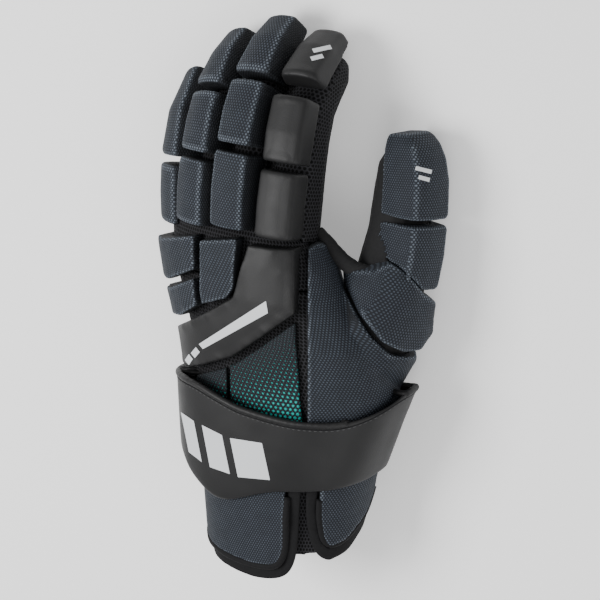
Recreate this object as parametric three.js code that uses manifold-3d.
// A padded lacrosse glove for the left hand, lying palm down.
// Millimetres: +X towards the thumb, +Y towards the fingertips, +Z up from the surface it lies on.
// Run with the npm packages three and manifold-3d.
import * as THREE from "three";
import { mergeVertices } from "three/addons/utils/BufferGeometryUtils.js";
import Module from "manifold-3d";

const wasm = await Module();
wasm.setup();

// Driving sizes of the hand body. Y is 0 in the middle of the wrist strap.
const HAND_LENGTH = 124;
const CUFF_LENGTH = 74;
const MOUTH_SLOPE = 21;
const BODY_WIDTH = 120;
const BODY_HEIGHT = 62;

// Walls, pads and clearances.
const LINER_WALL = 2.4;
const CLEARANCE = 0.3;
const PAD_THICKNESS = 9;
const BAND_THICKNESS = 8;
const VENT_THICKNESS = 3;
const PALM_THICKNESS = 1.2;
const FLAP_SEAT = 1.3;
const FLAP_THICKNESS = 6.2;
const TAPE_THICKNESS = 4;
const TAPE_WIDTH = 9;

// Wrist strap, round the cuff and its flaps.
const STRAP_THICKNESS = 2.8;
const STRAP_BULGE = 1.6;
const STRAP_TOP_ROOM = 7.2;
const STRAP_WIDTH = 60;
const STRAP_PALM_ROOM = 0.6;

// Fingers and thumb.
const FINGER_REACH = 116;
const FINGER_HALF_WIDTH = 12;
const FINGER_HALF_HEIGHT = 13;
const FINGER_DROP = 5;
const ROLL_HALF_WIDTH = 13.6;
const ROLL_RIDGE_HEIGHT = 17.6;
const THUMB_REACH = 150;
const THUMB_ROOT_RADIUS = 27;
const THUMB_DROP = 6;

// Mesh fineness.
const BODY_SIDES = 24;
const FINGER_SIDES = 10;
const THUMB_SIDES = 14;

const COLOURS = {
  leather: { color: 0x1c1c1e, roughness: 0.45, metalness: 0 },
  weave: { color: 0x272b33, roughness: 0.8, metalness: 0 },
  mesh: { color: 0x08080a, roughness: 0.95, metalness: 0 },
  tape: { color: 0x0a0a0b, roughness: 0.9, metalness: 0 },
  vent: { color: 0x0c6f68, roughness: 0.85, metalness: 0 },
};

const radians = THREE.MathUtils.degToRad;
const glove = new THREE.Group();

// Solids: a closed geometry becomes a manifold for cuts and joins, and comes back as a named mesh.
function toSolid(geometry) {
  const bare = geometry.clone();
  for (const name of Object.keys(bare.attributes)) {
    if (name !== "position") bare.deleteAttribute(name);
  }
  const merged = mergeVertices(bare, 1e-3);
  return new wasm.Manifold(
    new wasm.Mesh({
      numProp: 3,
      vertProperties: merged.attributes.position.array,
      triVerts: new Uint32Array(merged.index.array),
    }),
  );
}

function largestBody(solid) {
  const bodies = solid.decompose();
  return bodies.reduce((best, one) => (one.volume() > best.volume() ? one : best));
}

function addNode(name, solid, colour) {
  const data = largestBody(solid).getMesh();
  const geometry = new THREE.BufferGeometry();
  geometry.setAttribute("position", new THREE.BufferAttribute(new Float32Array(data.vertProperties), 3));
  geometry.setIndex(new THREE.BufferAttribute(new Uint32Array(data.triVerts), 1));
  geometry.computeVertexNormals();
  const mesh = new THREE.Mesh(geometry, new THREE.MeshStandardMaterial(COLOURS[colour]));
  mesh.name = name;
  glove.add(mesh);
}

// A skin through rings of equal point count. The ends are closed by fans, or the rings join in a hoop.
function loft(rings, hoop = false) {
  const count = rings[0].length;
  const points = rings.flat();
  const faces = [];
  const spans = hoop ? rings.length : rings.length - 1;
  for (let i = 0; i < spans; i += 1) {
    const a = i * count;
    const b = ((i + 1) % rings.length) * count;
    for (let j = 0; j < count; j += 1) {
      const k = (j + 1) % count;
      faces.push([a + j, a + k, b + k], [a + j, b + k, b + j]);
    }
  }
  if (!hoop) {
    [0, rings.length - 1].forEach((end, side) => {
      const middle = rings[end].reduce((sum, p) => sum.add(p), new THREE.Vector3()).divideScalar(count);
      points.push(middle);
      const m = points.length - 1;
      for (let j = 0; j < count; j += 1) {
        const p = end * count + j;
        const q = end * count + ((j + 1) % count);
        faces.push(side ? [p, q, m] : [q, p, m]);
      }
    });
  }
  const geometry = new THREE.BufferGeometry().setFromPoints(points);
  geometry.setIndex(faces.flat());
  return facingOut(toSolid(geometry), geometry);
}

// Turns a skin whose faces point inwards.
function facingOut(solid, geometry) {
  if (solid.volume() > 0) return solid;
  const index = geometry.index.array;
  for (let i = 0; i < index.length; i += 3) {
    [index[i + 1], index[i + 2]] = [index[i + 2], index[i + 1]];
  }
  return toSolid(geometry);
}

// A squared oval in the plane of its section: power 2 is an ellipse, more is boxier.
function oval(angle, halfWidth, halfHeight, power) {
  const c = Math.cos(angle);
  const s = Math.sin(angle);
  return [
    halfWidth * Math.sign(c) * Math.abs(c) ** (2 / power),
    halfHeight * Math.sign(s) * Math.abs(s) ** (2 / power),
  ];
}

// The hand body. Y is a share of CUFF_LENGTH below zero and of HAND_LENGTH above it.
// X and half widths are shares of BODY_WIDTH, heights are shares of BODY_HEIGHT. The tilt is in degrees.
const BODY_SECTIONS = [
  { y: -0.973, x: -0.03, z: 0.565, halfWidth: 0.345, halfHeight: 0.45, tilt: 0 },
  { y: -0.47, x: -0.035, z: 0.565, halfWidth: 0.37, halfHeight: 0.47, tilt: 0 },
  { y: -0.22, x: -0.03, z: 0.565, halfWidth: 0.388, halfHeight: 0.485, tilt: 0 },
  { y: 0, x: -0.02, z: 0.565, halfWidth: 0.43, halfHeight: 0.5, tilt: 1 },
  { y: 0.28, x: 0.003, z: 0.605, halfWidth: 0.503, halfHeight: 0.5, tilt: 4 },
  { y: 0.52, x: -0.039, z: 0.66, halfWidth: 0.506, halfHeight: 0.468, tilt: 8 },
  { y: 0.74, x: -0.139, z: 0.71, halfWidth: 0.472, halfHeight: 0.42, tilt: 12 },
  { y: 0.89, x: -0.193, z: 0.726, halfWidth: 0.458, halfHeight: 0.37, tilt: 14 },
  { y: 1, x: -0.238, z: 0.735, halfWidth: 0.428, halfHeight: 0.31, tilt: 16 },
  { y: 1.075, x: -0.253, z: 0.72, halfWidth: 0.358, halfHeight: 0.17, tilt: 16 },
];
const BODY_POWER = 2.4;

function sectionSizes(row) {
  return {
    y: row.y * (row.y < 0 ? CUFF_LENGTH : HAND_LENGTH),
    x: row.x * BODY_WIDTH,
    z: row.z * BODY_HEIGHT,
    halfWidth: row.halfWidth * BODY_WIDTH,
    halfHeight: row.halfHeight * BODY_HEIGHT,
    tilt: radians(row.tilt),
  };
}

// The body's section at any Y, between the rows of the table.
function bodySection(y) {
  const rows = BODY_SECTIONS.map(sectionSizes);
  const last = rows.length - 1;
  let i = rows.findIndex((row) => row.y > y);
  if (i < 0) i = last;
  const high = rows[Math.max(i, 1)];
  const low = rows[Math.max(i, 1) - 1];
  const share = (y - low.y) / (high.y - low.y);
  const mixed = { y };
  for (const key of ["x", "z", "halfWidth", "halfHeight", "tilt"]) {
    mixed[key] = low[key] + (high[key] - low[key]) * share;
  }
  return mixed;
}

// A point on the body: angle 0 is the thumb side, 90 the back of the hand. Grow moves it outwards.
function bodyPoint(angle, section, grow) {
  const [across, up] = oval(angle, section.halfWidth + grow, section.halfHeight + grow, BODY_POWER);
  const c = Math.cos(section.tilt);
  const s = Math.sin(section.tilt);
  return new THREE.Vector3(section.x + across * c - up * s, section.y, section.z + up * c + across * s);
}

function bodyRing(section, grow) {
  return Array.from({ length: BODY_SIDES }, (_, j) => bodyPoint((j / BODY_SIDES) * Math.PI * 2, section, grow));
}

// The whole body, grown by a margin, and stretched past the cuff mouth where it is a cutter.
function bodySolid(grow, mouth = 0) {
  const rows = BODY_SECTIONS.map(sectionSizes);
  rows[0].y -= mouth;
  rows[rows.length - 1].y += grow;
  return loft(rows.map((row) => bodyRing(row, grow)));
}

// Fingers. Knuckle X is a share of BODY_WIDTH, Y of HAND_LENGTH and Z of BODY_HEIGHT.
// Roll turns the finger about its length, away from the thumb. Splay leans it towards the thumb.
// Pitches are how far each phalanx points down, and lengths are shares of FINGER_REACH.
const FINGERS = [
  { name: "index", x: 0.08, y: 1.0, z: 0.955, roll: 2, splay: 2, width: 1.25, legs: -0.3, pitches: [8, 18, 54], lengths: [0.36, 0.33, 0.29] },
  { name: "middle", x: -0.17, y: 1.02, z: 0.895, roll: 10, splay: 3, width: 1, legs: 0, pitches: [4, 25, 48], lengths: [0.39, 0.33, 0.255] },
  { name: "ring", x: -0.388, y: 1.0, z: 0.757, roll: 25, splay: 3, width: 1, legs: 0.1, pitches: [3, 22, 44], lengths: [0.34, 0.31, 0.24] },
  { name: "pinky", x: -0.552, y: 0.945, z: 0.516, roll: 40, splay: -1, width: 1, legs: 0.1, pitches: [3, 18, 36], lengths: [0.34, 0.27, 0.1] },
];
const FINGER_ROOT = 0.22;

// A path with a frame at every share of its length: where it is, along it, up out of its back, across.
function makePath(points, rollDegrees) {
  const curve = new THREE.CatmullRomCurve3(points, false, "centripetal");
  const roll = radians(rollDegrees);
  const back = new THREE.Vector3(-Math.sin(roll), 0, Math.cos(roll));
  return (share) => {
    const held = Math.min(Math.max(share, 0), 1);
    const along = curve.getTangentAt(held).normalize();
    const at = curve.getPointAt(held).addScaledVector(along, (share - held) * curve.getLength());
    const up = back.clone().addScaledVector(along, -back.dot(along)).normalize();
    const across = new THREE.Vector3().crossVectors(along, up);
    return { at, along, up, across };
  };
}

function fingerPath(finger) {
  const lean = radians(finger.splay);
  const knuckle = new THREE.Vector3(finger.x * BODY_WIDTH, finger.y * HAND_LENGTH, finger.z * BODY_HEIGHT);
  const root = knuckle.clone().add(new THREE.Vector3(0, -FINGER_ROOT * FINGER_REACH, 0));
  const points = [root, knuckle];
  finger.pitches.forEach((pitch, i) => {
    const down = radians(pitch);
    const reach = finger.lengths[i] * FINGER_REACH;
    const step = new THREE.Vector3(Math.sin(lean) * Math.cos(down), Math.cos(lean) * Math.cos(down), -Math.sin(down));
    points.push(points[points.length - 1].clone().addScaledVector(step, reach));
  });
  const total = finger.lengths.reduce((sum, one) => sum + one, FINGER_ROOT);
  const frame = makePath(points, finger.roll);
  // Shares run from 0 at the knuckle to 1 at the fingertip.
  return (share) => frame((FINGER_ROOT + share * (total - FINGER_ROOT)) / total);
}

function ringAt(frame, sides, halfWidth, halfHeight, drop = 0) {
  return Array.from({ length: sides }, (_, j) => {
    const [a, b] = oval((j / sides) * Math.PI * 2, halfWidth, halfHeight, 2.3);
    return frame.at.clone().addScaledVector(frame.across, a).addScaledVector(frame.up, b - drop);
  });
}

// Stall sections: how far along the finger, and how wide there.
const STALL_STATIONS = [
  { share: -0.2, width: 0.9 },
  { share: 0.12, width: 1 },
  { share: 0.34, width: 0.98 },
  { share: 0.5, width: 0.96 },
  { share: 0.66, width: 0.95 },
  { share: 0.82, width: 0.92 },
  { share: 0.93, width: 0.82 },
  { share: 1.0, width: 0.55 },
];

function fingerSolid(finger, grow) {
  const path = fingerPath(finger);
  const end = STALL_STATIONS.length - 1;
  return loft(
    STALL_STATIONS.map((station, i) => {
      const reach = i === end ? grow / FINGER_REACH : 0;
      const frame = path(station.share + reach);
      const halfWidth = FINGER_HALF_WIDTH * finger.width * station.width + grow;
      const halfHeight = FINGER_HALF_HEIGHT * station.width + grow;
      return ringAt(frame, FINGER_SIDES, halfWidth, halfHeight, FINGER_DROP * finger.width);
    }),
  );
}

// Thumb: its centre line from inside the heel of the hand to its tip, and its radius along it.
// X, Y and Z are shares of BODY_WIDTH, HAND_LENGTH and BODY_HEIGHT, radii of THUMB_ROOT_RADIUS.
const THUMB_STATIONS = [
  { x: 0.19, y: 0.2, z: 0.56, width: 0.95, height: 0.9 },
  { x: 0.34, y: 0.4, z: 0.56, width: 0.95, height: 0.9 },
  { x: 0.46, y: 0.6, z: 0.52, width: 0.94, height: 0.86 },
  { x: 0.53, y: 0.82, z: 0.47, width: 0.7, height: 0.72 },
  { x: 0.555, y: 1.03, z: 0.42, width: 0.57, height: 0.64 },
  { x: 0.56, y: 1.22, z: 0.38, width: 0.52, height: 0.58 },
  { x: 0.55, y: 1.35, z: 0.35, width: 0.43, height: 0.48 },
  { x: 0.54, y: 1.42, z: 0.34, width: 0.22, height: 0.26 },
];
const THUMB_ROLL = -72;
const THUMB_END = THUMB_STATIONS.length - 1;

function thumbPoint(row) {
  return new THREE.Vector3(row.x * BODY_WIDTH, row.y * HAND_LENGTH, row.z * BODY_HEIGHT);
}
const thumbPath = makePath(THUMB_STATIONS.map(thumbPoint), THUMB_ROLL);

function thumbSolid(grow) {
  const curve = new THREE.CatmullRomCurve3(THUMB_STATIONS.map(thumbPoint), false, "centripetal");
  const lengths = curve.getLengths(THUMB_END * 20);
  return loft(
    THUMB_STATIONS.map((row, i) => {
      const reach = i === THUMB_END ? grow / THUMB_REACH : 0;
      const frame = thumbPath(lengths[i * 20] / lengths[lengths.length - 1] + reach);
      const halfWidth = row.width * THUMB_ROOT_RADIUS + grow;
      return ringAt(frame, THUMB_SIDES, halfWidth, row.height * THUMB_ROOT_RADIUS + grow, THUMB_DROP);
    }),
  );
}

// The hand's whole outer form, grown by a margin: what the pads are cut to.
function handSolid(grow) {
  return [bodySolid(grow), thumbSolid(grow), ...FINGERS.map((finger) => fingerSolid(finger, grow))].reduce(
    (sum, one) => sum.add(one),
  );
}
const hand = handSolid(0);
const seat = handSolid(CLEARANCE);

// Liner: hollow body and hollow stalls. A stall opens into the body through a hole of its own bore.
const bodyCavity = bodySolid(-LINER_WALL, LINER_WALL * 2);
// The cuff mouth is cut on a slope: the palm side is shorter than the back.
const mouthCutter = new THREE.BoxGeometry(BODY_WIDTH, CUFF_LENGTH, BODY_HEIGHT * 2);
mouthCutter.translate(0, -CUFF_LENGTH / 2, 0);
mouthCutter.rotateX(radians(MOUTH_SLOPE));
mouthCutter.translate(0, BODY_SECTIONS[0].y * CUFF_LENGTH * 0.7, BODY_SECTIONS[0].z * BODY_HEIGHT);
const stallCavities = FINGERS.map((finger) => fingerSolid(finger, -LINER_WALL));
const thumbCavity = thumbSolid(-LINER_WALL);
const bores = [thumbCavity, ...stallCavities];
const shell = bores.reduce(
  (sum, bore) => sum.subtract(bore),
  bodySolid(0).subtract(bodyCavity).subtract(toSolid(mouthCutter)),
);

// The liner is sewn from two pieces: the hand, and the knuckles where the stalls open into it.
const KNUCKLE_SEAM = 0.79;
function beyondSeam(margin) {
  const block = new THREE.BoxGeometry(BODY_WIDTH * 2, HAND_LENGTH, BODY_HEIGHT * 4);
  return toSolid(block.translate(0, HAND_LENGTH * (KNUCKLE_SEAM + 0.5) + margin, 0));
}
addNode("hand_liner", shell.subtract(beyondSeam(-CLEARANCE)), "mesh");
addNode("knuckle_liner", shell.intersect(beyondSeam(0)), "mesh");

const bodySeat = bodySolid(CLEARANCE);
FINGERS.forEach((finger, i) => {
  const stall = fingerSolid(finger, 0).subtract(stallCavities[i]).subtract(bodySeat);
  addNode(`${finger.name}_stall`, stall.subtract(thumbSolid(CLEARANCE)), "mesh");
});
addNode("thumb_stall", thumbSolid(0).subtract(thumbCavity).subtract(bodySeat), "mesh");

// A foam roll over a finger: a boxy arch with a flat back, a ridge each side and legs down the sides.
// Across is a share of ROLL_HALF_WIDTH and up is a share of ROLL_RIDGE_HEIGHT.
const ROLL_SECTION = [
  { across: 0.99, up: 0.02 },
  { across: 1.0, up: 0.45 },
  { across: 0.9, up: 0.9 },
  { across: 0.78, up: 1.04 },
  { across: 0.4, up: 1.12 },
  { across: 0, up: 1.15 },
];

function rollRing(frame, width, height, depth) {
  const half = ROLL_SECTION.map((p) => [p.across * width, p.up * height]);
  half[0][1] -= depth;
  const other = half.slice(0, -1).reverse().map(([a, b]) => [-a, b]);
  return [...half, ...other].map(([a, b]) =>
    frame.at.clone().addScaledVector(frame.across, a).addScaledVector(frame.up, b),
  );
}

// Its ends are rounded by drawing the first and last rings in. A domed one ends like a fingertip.
const ROLL_RINGS = [
  { share: 0, scale: 0.95 },
  { share: 0.05, scale: 1 },
  { share: 0.5, scale: 1.015 },
  { share: 0.95, scale: 1 },
  { share: 1, scale: 0.95 },
];
const DOMED_RINGS = [
  { share: 0, scale: 0.95 },
  { share: 0.05, scale: 1 },
  { share: 0.42, scale: 1.01 },
  { share: 0.66, scale: 0.98 },
  { share: 0.84, scale: 0.89 },
  { share: 0.95, scale: 0.75 },
  { share: 1, scale: 0.6 },
];

function rollSolid(path, from, to, sizes) {
  const rings = (sizes.domed ? DOMED_RINGS : ROLL_RINGS).map(({ share, scale }) => {
    const taper = 1 - (sizes.taper ?? 0) * share ** 2;
    const shrink = scale * taper;
    return rollRing(path(from + (to - from) * share), sizes.width * shrink, sizes.height * shrink, sizes.depth);
  });
  return loft(rings);
}

// Where each roll lies on its finger, as shares from the knuckle to the fingertip.
const ROLLS = {
  index: [
    { from: 0.02, to: 0.335 },
    { from: 0.375, to: 0.665 },
    { from: 0.73, to: 1.05, taper: 0.22 },
  ],
  middle: [
    { from: 0.02, to: 0.375 },
    { from: 0.41, to: 0.69 },
    { from: 0.725, to: 1.07, taper: 0.22 },
  ],
  ring: [
    { from: 0.02, to: 0.355 },
    { from: 0.39, to: 0.68 },
    { from: 0.72, to: 1.07, taper: 0.22 },
  ],
  pinky: [
    { from: 0.04, to: 0.43 },
    { from: 0.48, to: 1.06, taper: 0.25 },
  ],
};
// Each finger's rolls are kept clear of the rolls of the finger before it.
let neighbours = seat;
for (const finger of FINGERS) {
  const path = fingerPath(finger);
  const colour = finger.name === "index" ? "leather" : "weave";
  const makeRoll = (roll, margin) => {
    const end = margin / FINGER_REACH;
    const height = ROLL_RIDGE_HEIGHT + margin;
    const sizes = { width: ROLL_HALF_WIDTH + margin, height, depth: finger.legs * height + margin };
    return rollSolid(path, roll.from - end, roll.to + end, { ...sizes, taper: roll.taper });
  };
  ROLLS[finger.name].forEach((roll, i) => {
    addNode(`${finger.name}_roll_${i + 1}`, makeRoll(roll, 0).subtract(neighbours), colour);
  });
  neighbours = ROLLS[finger.name].reduce((sum, roll) => sum.add(makeRoll(roll, CLEARANCE)), seat);
}

// A flat outline drawn in by a margin, or out by a negative one. Its first and last points end one edge.
function drawnIn(outline, margin) {
  const centre = outline.reduce((sum, p) => sum.add(p), new THREE.Vector2()).divideScalar(outline.length);
  const last = outline.length - 1;
  return outline.map((p, i) => {
    const before = outline[Math.max(i - 1, 0)];
    const after = outline[Math.min(i + 1, last)];
    const along = after.clone().sub(before).normalize();
    const inward = new THREE.Vector2(-along.y, along.x);
    if (inward.dot(centre.clone().sub(p)) < 0) inward.negate();
    return p.clone().addScaledVector(inward, margin);
  });
}

// Panels: an outline seen along one direction, as thick as asked over the hand's own surface.
// The direction leans from straight up towards the thumb. Start is how far along it the panel may begin,
// a share of BODY_HEIGHT. Outline points are [across, along]: across is a share of BODY_WIDTH, measured
// square to the direction, and along is a share of HAND_LENGTH.
function panelSolid({ lean, start, outline, thickness }, form = handSolid, margin = 0) {
  const flat = outline.map(([a, y]) => new THREE.Vector2(a * BODY_WIDTH, y * HAND_LENGTH));
  const shape = new THREE.Shape(drawnIn(flat, -margin));
  const prism = new THREE.ExtrudeGeometry(shape, { depth: BODY_WIDTH, bevelEnabled: false });
  prism.translate(0, 0, start * BODY_HEIGHT - margin);
  prism.rotateY(radians(lean));
  return toSolid(prism).intersect(form(thickness + margin)).subtract(margin ? hand : seat);
}

// The pad over the base of the thumb. Its neighbours are kept clear of it.
const THUMB_PAD = {
  lean: 45,
  start: 0.92,
  thickness: PAD_THICKNESS,
  outline: [
    [-0.05, 0.875],
    [0.03, 0.89],
    [0.121, 0.935],
    [0.195, 0.885],
    [0.29, 0.775],
    [0.37, 0.715],
    [0.37, 0.56],
    [0.29, 0.5],
    [0.19, 0.512],
    [0.075, 0.575],
    [-0.012, 0.69],
    [-0.045, 0.8],
  ],
};
const besidePad = panelSolid(THUMB_PAD, handSolid, CLEARANCE);
addNode("thumb_base_pad", panelSolid(THUMB_PAD), "weave");

const PANELS = [
  {
    name: "back_pad_middle",
    colour: "weave",
    lean: 0,
    start: 0.6,
    thickness: PAD_THICKNESS,
    outline: [
      [-0.34, 0.965],
      [-0.105, 1.01],
      [-0.123, 0.78],
      [-0.163, 0.728],
      [-0.328, 0.668],
    ],
  },
  {
    name: "back_pad_outer_1",
    colour: "weave",
    lean: -15,
    start: 0.75,
    thickness: PAD_THICKNESS,
    outline: [
      [-0.575, 0.905],
      [-0.5, 0.913],
      [-0.222, 0.978],
      [-0.202, 0.825],
      [-0.43, 0.73],
      [-0.555, 0.712],
    ],
  },
  {
    name: "back_pad_outer_2",
    colour: "weave",
    lean: -15,
    start: 0.75,
    thickness: PAD_THICKNESS,
    outline: [
      [-0.545, 0.67],
      [-0.43, 0.69],
      [-0.202, 0.785],
      [-0.196, 0.655],
      [-0.34, 0.575],
      [-0.515, 0.54],
    ],
  },
  {
    name: "back_band",
    colour: "leather",
    lean: 0,
    start: 0.55,
    thickness: BAND_THICKNESS,
    outline: [
      [-0.048, 0.99],
      [0.178, 0.99],
      [0.198, 0.84],
      [0.205, 0.702],
      [0.014, 0.561],
      [-0.15, 0.448],
      [-0.429, 0.335],
      [-0.53, 0.33],
      [-0.56, 0.5],
      [-0.486, 0.535],
      [-0.32, 0.625],
      [-0.13, 0.735],
    ],
  },
  {
    name: "vent_panel",
    colour: "vent",
    lean: 0,
    start: 0.55,
    thickness: VENT_THICKNESS,
    outline: [
      [0.192, 0.655],
      [0.014, 0.522],
      [-0.15, 0.41],
      [-0.19, 0.39],
      [-0.19, 0.16],
      [0.205, 0.16],
    ],
  },
  {
    name: "vent_panel_small",
    colour: "vent",
    lean: 0,
    start: 0.55,
    thickness: VENT_THICKNESS,
    outline: [
      [-0.212, 0.378],
      [-0.44, 0.285],
      [-0.46, 0.16],
      [-0.212, 0.16],
    ],
  },
  {
    name: "side_panel",
    colour: "weave",
    lean: 30,
    start: 0.7,
    thickness: PAD_THICKNESS * 0.72,
    outline: [
      [-0.085, 0.16],
      [-0.085, 0.985],
      [-0.04, 1.0],
      [0.0, 0.985],
      [0.05, 0.91],
      [0.085, 0.785],
      [0.2, 0.61],
      [0.3, 0.5],
      [0.43, 0.455],
      [0.43, 0.28],
      [0.3, 0.2],
      [0.15, 0.16],
    ],
  },
];
for (const panel of PANELS) {
  addNode(panel.name, panelSolid(panel).subtract(besidePad), panel.colour);
}

// Rolls on the thumb lie over its outer side and its upper side.
const THUMB_ROLLS = [
  { name: "thumb_roll_middle", from: 0.54, to: 0.745, taper: 0 },
  { name: "thumb_roll_tip", from: 0.765, to: 1.05, taper: 0.12, domed: true },
];
const THUMB_ROLL_SIZES = {
  width: THUMB_ROOT_RADIUS * 0.6,
  height: THUMB_ROOT_RADIUS * 0.7,
  depth: THUMB_ROOT_RADIUS * 0.22,
};
for (const roll of THUMB_ROLLS) {
  const sizes = { ...THUMB_ROLL_SIZES, taper: roll.taper, domed: roll.domed };
  addNode(roll.name, rollSolid(thumbPath, roll.from, roll.to, sizes).subtract(seat).subtract(besidePad), "weave");
}

// The palm: a thin soft sheet under the hand, kept clear of the fingers and the thumb.
const PALM = {
  lean: 180,
  start: -0.39,
  thickness: PALM_THICKNESS,
  outline: [
    [-0.7, 0.36],
    [0.75, 0.36],
    [0.75, 0.9],
    [0.2, 1.02],
    [-0.2, 0.96],
    [-0.7, 0.8],
  ],
};
addNode("palm_panel", panelSolid(PALM, bodySolid), "leather");

// A closed slab between two grids of points, outer and inner, each a list of rows.
function slabSolid(outer, inner) {
  const rows = outer.length;
  const columns = outer[0].length;
  const points = [...outer.flat(), ...inner.flat()];
  const far = rows * columns;
  const faces = [];
  for (let i = 0; i < rows - 1; i += 1) {
    for (let j = 0; j < columns - 1; j += 1) {
      const a = i * columns + j;
      const [b, c, d] = [a + 1, a + columns + 1, a + columns];
      faces.push([a, b, c], [a, c, d]);
      faces.push([far + c, far + b, far + a], [far + d, far + c, far + a]);
    }
  }
  const rim = [];
  for (let j = 0; j < columns - 1; j += 1) rim.push(j);
  for (let i = 0; i < rows - 1; i += 1) rim.push(i * columns + columns - 1);
  for (let j = columns - 1; j > 0; j -= 1) rim.push((rows - 1) * columns + j);
  for (let i = rows - 1; i > 0; i -= 1) rim.push(i * columns);
  rim.forEach((p, n) => {
    const q = rim[(n + 1) % rim.length];
    faces.push([q, p, far + p], [q, far + p, far + q]);
  });
  const geometry = new THREE.BufferGeometry().setFromPoints(points);
  geometry.setIndex(faces.flat());
  return facingOut(toSolid(geometry), geometry);
}

// Cuff flaps, wrapped round the cuff. Each row runs from the edge at the split between the flaps, a,
// to the edge round the side, b. Angles are in degrees round the cuff, Y is a share of CUFF_LENGTH.
const FLAPS = {
  back: [
    { a: 63, aY: 0.23, b: 196, bY: 0.23 },
    { a: 63, aY: 0, b: 196, bY: 0 },
    { a: 63, aY: -0.22, b: 196, bY: -0.22 },
    { a: 63, aY: -0.47, b: 196, bY: -0.42 },
    { a: 64, aY: -0.76, b: 192, bY: -0.64 },
    { a: 69, aY: -0.94, b: 180, bY: -0.8 },
    { a: 79, aY: -1.02, b: 161, bY: -0.91 },
    { a: 95, aY: -1.03, b: 138, bY: -0.96 },
  ],
  side: [
    { a: 60, aY: 0.23, b: -35, bY: 0.23 },
    { a: 60, aY: 0, b: -35, bY: 0 },
    { a: 60, aY: -0.22, b: -35, bY: -0.15 },
    { a: 59, aY: -0.47, b: -33, bY: -0.3 },
    { a: 56, aY: -0.64, b: -26, bY: -0.45 },
    { a: 51, aY: -0.76, b: -12, bY: -0.6 },
    { a: 44, aY: -0.82, b: 3, bY: -0.7 },
    { a: 36, aY: -0.84, b: 17, bY: -0.79 },
  ],
};
const FLAP_COLUMNS = 8;

// The flap's outline as flat points, millimetres round the cuff and along it: down edge a, up edge b.
const CUFF_RADIUS = (BODY_WIDTH + BODY_HEIGHT) / 4;
function flapOutline(rows) {
  const flat = (angle, y) => new THREE.Vector2(radians(angle) * CUFF_RADIUS, y * CUFF_LENGTH);
  return [...rows.map((row) => flat(row.a, row.aY)), ...rows.map((row) => flat(row.b, row.bY)).reverse()];
}

function flapSolid(outline, from, to) {
  const half = outline.length / 2;
  const grid = (grow) =>
    Array.from({ length: half }, (_, i) => {
      const a = outline[i];
      const b = outline[outline.length - 1 - i];
      return Array.from({ length: FLAP_COLUMNS }, (_, j) => {
        const p = a.clone().lerp(b, j / (FLAP_COLUMNS - 1));
        return bodyPoint(p.x / CUFF_RADIUS, bodySection(p.y), grow);
      });
    });
  return slabSolid(grid(to), grid(from));
}

for (const [name, rows] of Object.entries(FLAPS)) {
  const outline = flapOutline(rows);
  const hole = flapSolid(drawnIn(outline, TAPE_WIDTH - CLEARANCE * 3), -LINER_WALL, FLAP_THICKNESS * 2);
  addNode(`cuff_flap_${name}`, flapSolid(drawnIn(outline, TAPE_WIDTH), FLAP_SEAT, FLAP_THICKNESS), "weave");
  addNode(`flap_binding_${name}`, flapSolid(outline, FLAP_SEAT, TAPE_THICKNESS).subtract(hole), "tape");
}

// Wrist strap: a closed band whose edges rise and fall round the cuff. Top and bottom are shares of
// STRAP_WIDTH, flare is how far the top edge stands out, a share of STRAP_TOP_ROOM.
const STRAP_EDGES = [
  { angle: 0, top: 0.69, bottom: -0.2, flare: 0.2 },
  { angle: 20, top: 0.53, bottom: -0.25, flare: 0.2 },
  { angle: 45, top: 0.42, bottom: -0.3, flare: 0.2 },
  { angle: 80, top: 0.41, bottom: -0.34, flare: 0.2 },
  { angle: 100, top: 0.49, bottom: -0.53, flare: 0.2 },
  { angle: 115, top: 0.57, bottom: -0.48, flare: 0.2 },
  { angle: 130, top: 0.65, bottom: -0.33, flare: 0.3 },
  { angle: 150, top: 0.63, bottom: -0.17, flare: 0.2 },
  { angle: 180, top: 0.6, bottom: -0.13, flare: 0.1 },
  { angle: 225, top: 0.53, bottom: -0.17, flare: 0 },
  { angle: 270, top: 0.5, bottom: -0.2, flare: 0 },
  { angle: 315, top: 0.57, bottom: -0.2, flare: 0 },
  { angle: 360, top: 0.69, bottom: -0.2, flare: 0.2 },
];
const STRAP_SECTIONS = 32;
// Across the strap, from its top edge to its bottom edge: how far along, and its share of the bulge.
const STRAP_PROFILE = [
  { along: 0, bulge: 0, flare: 1 },
  { along: 0.1, bulge: 0.6, flare: 0.7 },
  { along: 0.45, bulge: 1, flare: 0.2 },
  { along: 0.9, bulge: 0.6, flare: 0 },
  { along: 1, bulge: 0, flare: 0 },
];

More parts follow.
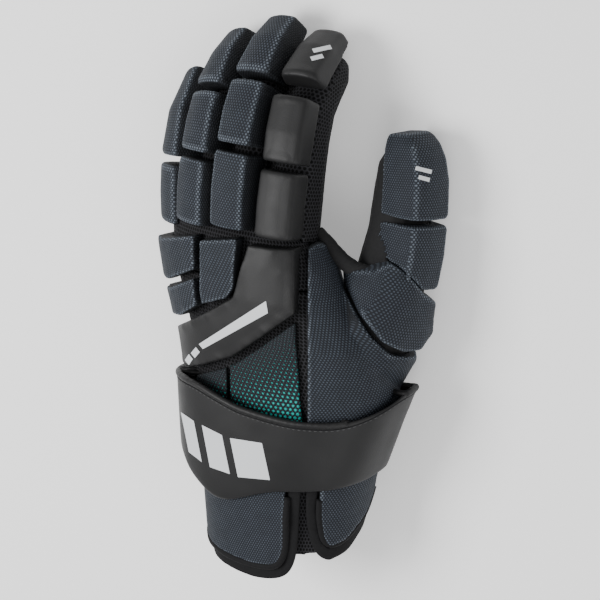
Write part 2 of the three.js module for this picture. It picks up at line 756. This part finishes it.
function strapEdges(degrees) {
  const i = STRAP_EDGES.findIndex((row) => row.angle > degrees);
  const low = STRAP_EDGES[i - 1];
  const high = STRAP_EDGES[i];
  const share = THREE.MathUtils.smoothstep(degrees, low.angle, high.angle);
  const mix = (key) => low[key] + (high[key] - low[key]) * share;
  return { top: mix("top"), bottom: mix("bottom"), flare: mix("flare") };
}

// The strap narrows and shifts away from the thumb towards the cuff mouth, and is flat underneath.
const cuffMiddle = sectionSizes(BODY_SECTIONS[3]);
const STRAP_HALF_WIDTH = BODY_WIDTH * 0.517;
const STRAP_MIDDLE = -BODY_WIDTH * 0.0375;
const STRAP_NARROWING = 0.2;
const STRAP_SHIFT = 0.18;
const STRAP_FLAT = 0.93;

function strapPoint(degrees, along, out) {
  const edges = strapEdges(degrees);
  const y = (edges.top + (edges.bottom - edges.top) * along) * STRAP_WIDTH;
  const [across, up] = oval(radians(degrees), STRAP_HALF_WIDTH + STRAP_NARROWING * y + out, 1, BODY_POWER);
  const section = bodySection(y);
  const over = section.z - cuffMiddle.z + section.halfHeight + STRAP_TOP_ROOM + out;
  const under = (cuffMiddle.halfHeight + STRAP_PALM_ROOM) / STRAP_FLAT + out;
  const height = up > 0 ? up * over : Math.max(up, -STRAP_FLAT) * under;
  return new THREE.Vector3(STRAP_MIDDLE + STRAP_SHIFT * y + across, y, cuffMiddle.z + height);
}

function strapSolid() {
  const rings = Array.from({ length: STRAP_SECTIONS }, (_, i) => {
    const degrees = (i / STRAP_SECTIONS) * 360;
    const { flare } = strapEdges(degrees);
    const side = Math.max(Math.sin(radians(degrees)) * 0.8 + 0.2, 0);
    const row = (extra) =>
      STRAP_PROFILE.map((p) => {
        const out = extra + p.bulge * STRAP_BULGE * side + p.flare * flare * STRAP_TOP_ROOM;
        return strapPoint(degrees, p.along, out);
      });
    return [...row(STRAP_THICKNESS), ...row(0).reverse()];
  });
  return loft(rings, true);
}
addNode("wrist_strap", strapSolid(), "leather");

glove.updateMatrixWorld(true);
const bounds = new THREE.Box3().setFromObject(glove);
glove.position.set(-(bounds.min.x + bounds.max.x) / 2, -(bounds.min.y + bounds.max.y) / 2, -bounds.min.z);

export default glove;
